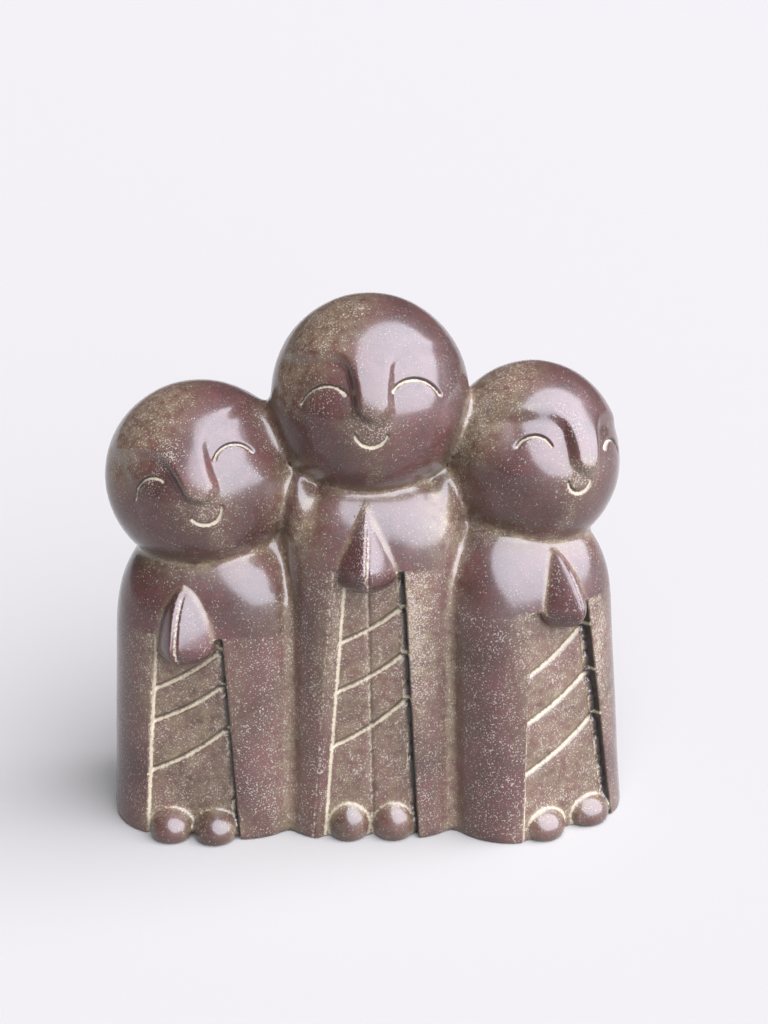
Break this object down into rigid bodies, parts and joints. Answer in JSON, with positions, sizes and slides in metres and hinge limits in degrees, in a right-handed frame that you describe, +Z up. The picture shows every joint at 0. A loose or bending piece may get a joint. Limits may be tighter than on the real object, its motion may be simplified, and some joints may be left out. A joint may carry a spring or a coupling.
{
  "type": "jizo trio statue",
  "caption": "Small stone garden statue of jizo monks standing side by side, with round smiling heads and praying hands, on a flat underside.",
  "frame": {"origin": "on the ground, under the middle of the statue's box", "axes": "+Z up, +X to the viewer's right, and the monks face -Y"},
  "size_m": [0.2384, 0.1012, 0.245],
  "materials": {
    "stone": "polished dark maroon cast stone with a cream lime wash left in the cuts and pores"
  },
  "bodies": {
    "root": {"jizo_trio": "stone"}
  },
  "joints": []
}
